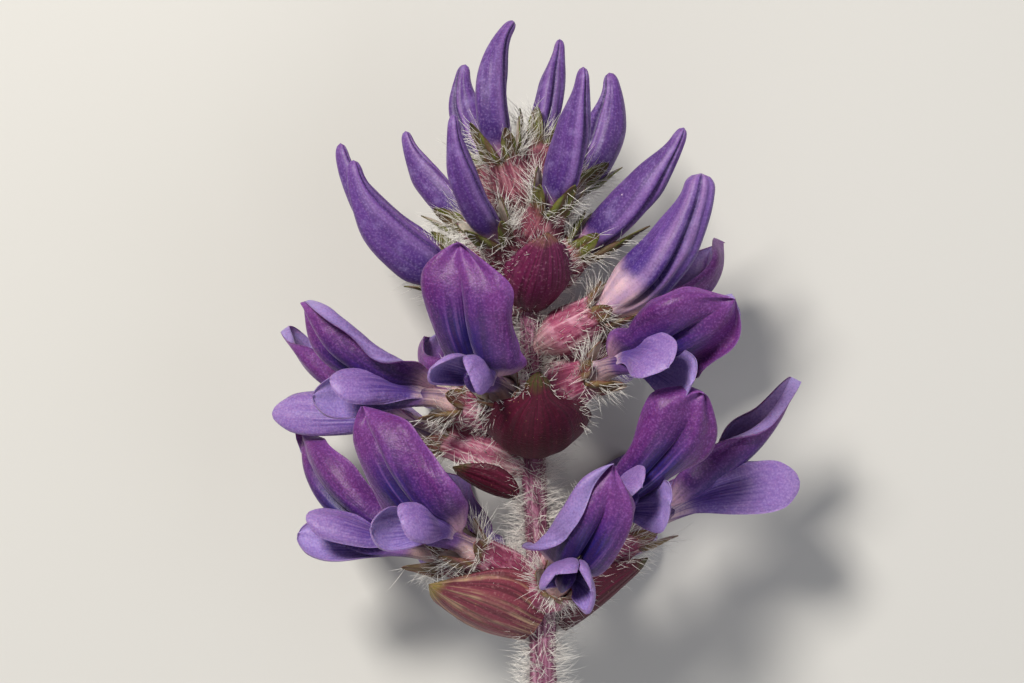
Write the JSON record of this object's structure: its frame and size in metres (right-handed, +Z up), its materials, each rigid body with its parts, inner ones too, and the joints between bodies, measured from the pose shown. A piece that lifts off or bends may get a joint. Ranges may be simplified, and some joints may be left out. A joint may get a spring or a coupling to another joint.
{
  "type": "breadroot flower spike",
  "caption": "Cut flower spike lying on its back: whorls of open violet pea flowers under a crown of horn-shaped buds, on a hairy stem.",
  "frame": {"origin": "the middle of the spike's footprint, on the surface it lies on", "axes": "+Y along the stem to the tip of the spike, +X to the right across it, and +Z up from the surface, towards the side seen in the picture"},
  "size_m": [0.0432, 0.0655, 0.03],
  "materials": {
    "stem_maroon": "matte plant skin, thickly covered with fine silvery hair",
    "petal_violet": "soft violet petal, thin and slightly translucent, paler at the claw",
    "bud_violet": "satin blue-violet petal, paler at the base",
    "bract_maroon": "dark maroon leaf with fine hair and pale gland dots"
  },
  "bodies": {
    "root": {"stem_and_calyxes": "stem_maroon", "corolla_lower_1": "petal_violet", "corolla_lower_2": "petal_violet", "corolla_lower_3": "petal_violet", "corolla_lower_4": "petal_violet", "corolla_lower_5": "petal_violet", "corolla_lower_6": "petal_violet", "corolla_lower_7": "petal_violet", "corolla_middle_1": "petal_violet", "corolla_middle_2": "petal_violet", "corolla_middle_3": "petal_violet", "corolla_middle_4": "petal_violet", "corolla_middle_6": "petal_violet", "corolla_middle_7": "petal_violet", "corolla_middle_8": "petal_violet", "bud_middle_5": "bud_violet", "bud_upper_1": "bud_violet", "bud_upper_2": "bud_violet", "bud_upper_3": "bud_violet", "bud_upper_4": "bud_violet", "bud_upper_5": "bud_violet", "bud_upper_6": "bud_violet", "bud_upper_7": "bud_violet", "bud_upper_8": "bud_violet", "bud_upper_9": "bud_violet", "bud_upper_10": "bud_violet", "bud_upper_11": "bud_violet", "bud_upper_12": "bud_violet", "bract_lower_left": "bract_maroon", "bract_lower_right": "bract_maroon", "bract_middle_front": "bract_maroon", "bract_middle_left": "bract_maroon", "bract_upper_front": "bract_maroon", "bract_lower_back": "bract_maroon"}
  },
  "joints": []
}
